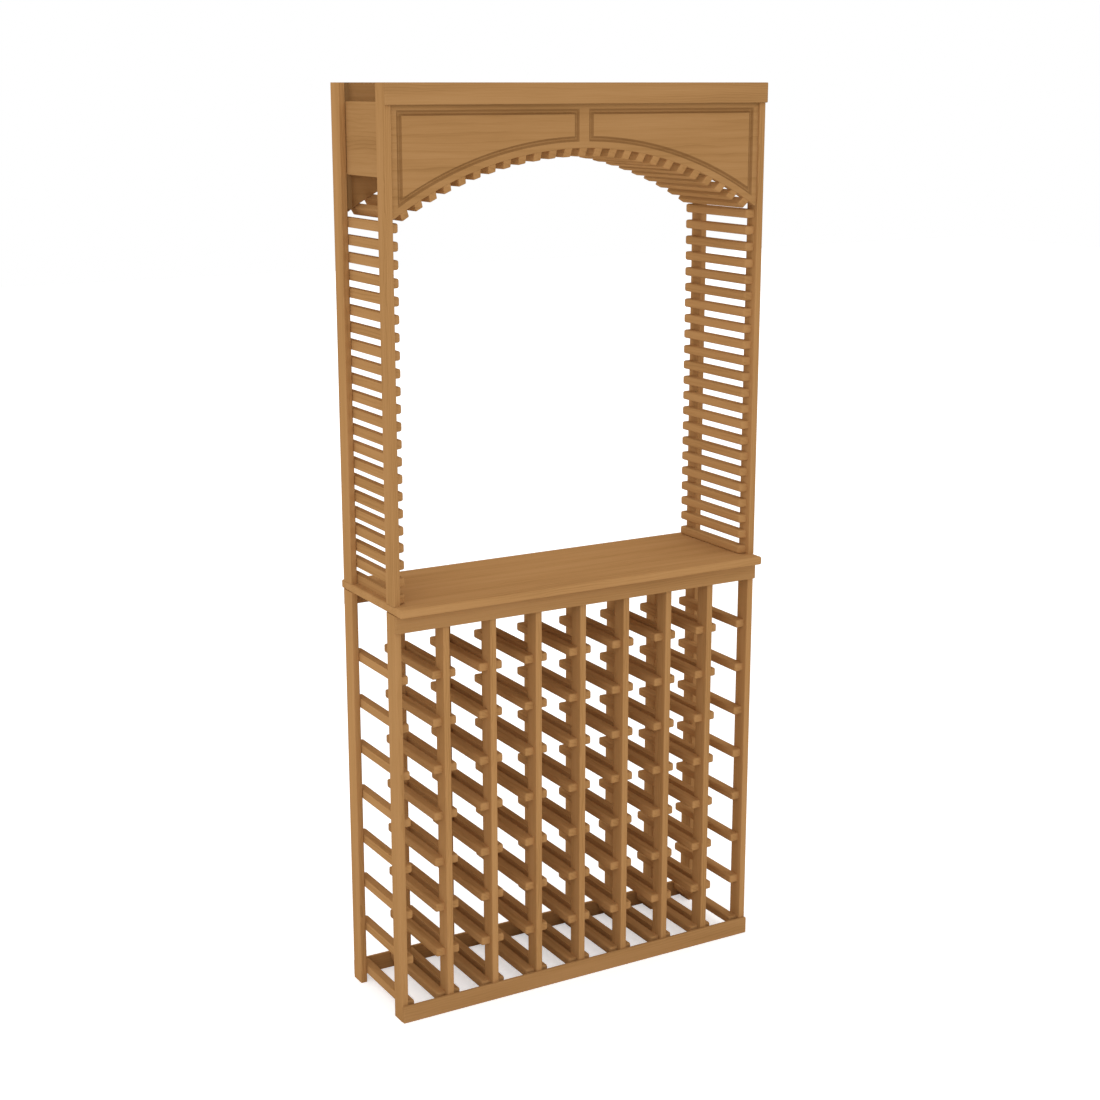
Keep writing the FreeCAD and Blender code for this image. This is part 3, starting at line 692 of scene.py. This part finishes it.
def mark_painted_groove_shade(piece, plan):
    """Notes where shade is painted in the routed grooves: most on their walls, less on their floor."""
    pooled = piece.data.attributes.new("pooled", "FLOAT", "FACE")
    rubbed = piece.data.attributes["rubbed"]
    depth = sizes().groove_depth
    for face in piece.data.polygons:
        depths = [abs(piece.data.vertices[index].co.y - plan.face_y) for index in face.vertices]
        if rubbed.data[face.index].value == 0 and 0.1 * depth < max(depths) < 1.1 * depth:
            pooled.data[face.index].value = 0.2 if min(depths) > 0.9 * depth else 0.4


class TASTING_OT_header_boards(bpy.types.Operator):
    """Front and back header boards, arched below and routed with two panels"""

    bl_idname = "tasting_table.header_boards"
    bl_label = "Header boards"

    def execute(self, context):
        arch = arch_of_slats()
        wood = header_wood()
        for node, front in (("front_valance", True), ("back_valance", False)):
            plan = header_plan(node, front, arch)
            board = board_face(node + "_wood", plan)
            thicken(board, plan)
            round_arch(board, plan)
            rout_panels(board, plan)
            mark_painted_groove_shade(board, plan)
            smooth(board, sharpest=40)
            finish(cut_from(board, node + "_wood"), node, wood)
        return {"FINISHED"}


class TASTING_OT_end_boards(bpy.types.Operator):
    """Boards that close the ends of the header"""

    bl_idname = "tasting_table.end_boards"
    bl_label = "End boards"

    def execute(self, context):
        wood = end_board_wood()
        for node in ("end_board_left", "end_board_right"):
            board = eased_board(node + "_wood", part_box(node), sizes().board_ease, 2,
                                lambda edge: abs(edge_direction(edge).y) > 0.5)
            finish(board, node, wood)
        return {"FINISHED"}


class TASTING_OT_fixings(bpy.types.Operator):
    """Finishes of the battens, dowels, nails and screws, which show as their CAD solids"""

    bl_idname = "tasting_table.fixings"
    bl_label = "Battens and fixings"

    def execute(self, context):
        steel = zinc_plated_steel()
        finishes = {"dowels": plain_beech(), "nails": steel, "screws": steel, "cleats": shaded_batten_wood()}
        for node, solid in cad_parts.items():
            if solid.hide_render:
                continue
            kind = [word for word in finishes if word in node]
            if not kind:
                raise RuntimeError(f"{node} has no piece and no finish")
            solid.data.materials.clear()
            solid.data.materials.append(finishes[kind[0]])
        return {"FINISHED"}


class TASTING_OT_stage(bpy.types.Operator):
    """Pale floor, soft light and a camera at the picture's viewing angle"""

    bl_idname = "tasting_table.stage"
    bl_label = "Stage"

    def execute(self, context):
        scene = context.scene
        scene.view_settings.view_transform = "Standard"
        make_floor()
        make_world(scene)
        make_lamp("Front light", place=(-3.4, -4.0, 2.7), aim=Vector((0.0, 0.0, 1.0)), side=3.0, watts=30)
        make_camera(scene)
        return {"FINISHED"}


def seen(tree):
    """1 on the rays that the camera, reflections and refractions send, 0 on those that carry light."""
    rays = add_node(tree, "ShaderNodeLightPath").outputs
    mirrored = add_node(tree, "ShaderNodeMath", {0: rays["Is Camera Ray"], 1: rays["Is Glossy Ray"]},
                        operation="ADD").outputs[0]
    return add_node(tree, "ShaderNodeMath", {0: mirrored, 1: rays["Is Transmission Ray"]}, operation="ADD",
                    use_clamp=True).outputs[0]


def make_floor():
    """A pale floor that looks white where it is lit and keeps the shadow of the table."""
    bpy.ops.object.select_all(action="DESELECT")
    bpy.ops.mesh.primitive_plane_add(size=30, location=(0, 0, 0))
    floor = bpy.context.object
    floor.name = "Floor"
    material, shader, tree = new_material("Pale studio floor")
    shader.inputs["Base Color"].default_value = opaque(colours().floor)
    shader.inputs["Roughness"].default_value = 0.9
    shader.inputs["Emission Color"].default_value = opaque((1.0, 1.0, 1.0))
    glow = add_node(tree, "ShaderNodeMath", {0: seen(tree), 1: 0.5}, operation="MULTIPLY").outputs[0]
    tree.links.new(glow, shader.inputs["Emission Strength"])
    floor.data.materials.append(material)


def make_world(scene):
    """White behind the table, and an even fill of light."""
    scene.world = bpy.data.worlds.new("Studio")
    scene.world.use_nodes = True
    tree = scene.world.node_tree
    tree.nodes.clear()
    strength = add_node(tree, "ShaderNodeMapRange", {
        "Value": seen(tree), "To Min": 0.915, "To Max": 1.0}).outputs["Result"]
    background = add_node(tree, "ShaderNodeBackground", {
        "Color": opaque((1.0, 1.0, 1.0)), "Strength": strength})
    add_node(tree, "ShaderNodeOutputWorld", {"Surface": background.outputs["Background"]})


def make_lamp(name, place, aim, side, watts):
    """A large soft square lamp."""
    lamp = bpy.data.objects.new(name, bpy.data.lights.new(name, "AREA"))
    bpy.context.scene.collection.objects.link(lamp)
    lamp.data.shape = "SQUARE"
    lamp.data.size = side
    lamp.data.energy = watts
    lamp.location = place
    lamp.rotation_euler = (aim - lamp.location).to_track_quat("-Z", "Y").to_euler()


def make_camera(scene):
    """A camera at the picture's viewing angle."""
    camera = bpy.data.objects.new("Camera", bpy.data.cameras.new("Camera"))
    scene.collection.objects.link(camera)
    camera.location = (-1.9838, -3.3939, 1.9204)
    camera.rotation_euler = (math.radians(76.08), 0.0, math.radians(-30.10))
    camera.data.sensor_width = 36.0
    camera.data.lens = FOCAL_LENGTH / PHOTO_SIDE * camera.data.sensor_width
    scene.camera = camera


OPERATORS = (TASTING_OT_uprights, TASTING_OT_rails, TASTING_OT_strips, TASTING_OT_table_top,
             TASTING_OT_arch_slats, TASTING_OT_header_boards, TASTING_OT_end_boards, TASTING_OT_fixings,
             TASTING_OT_stage)


class TASTING_PT_panel(bpy.types.Panel):
    """Steps that make the tasting table"""

    bl_idname = "TASTING_PT_panel"
    bl_label = "Tasting table"
    bl_space_type = "VIEW_3D"
    bl_region_type = "UI"
    bl_category = "Tasting table"

    def draw(self, context):
        for operator in OPERATORS:
            self.layout.operator(operator.bl_idname)


CLASSES = (TastingTableSizes, TastingTableColours, TastingTableSettings, *OPERATORS, TASTING_PT_panel)


def register():
    for item in CLASSES:
        bpy.utils.register_class(item)
    bpy.types.Scene.tasting_table = bpy.props.PointerProperty(type=TastingTableSettings)


def unregister():
    del bpy.types.Scene.tasting_table
    for item in reversed(CLASSES):
        bpy.utils.unregister_class(item)


def main():
    register()
    steps = bpy.ops.tasting_table
    steps.uprights()
    steps.rails()
    steps.strips()
    steps.table_top()
    steps.arch_slats()
    steps.header_boards()
    steps.end_boards()
    steps.fixings()
    steps.stage()


if __name__ == "__main__":
    main()
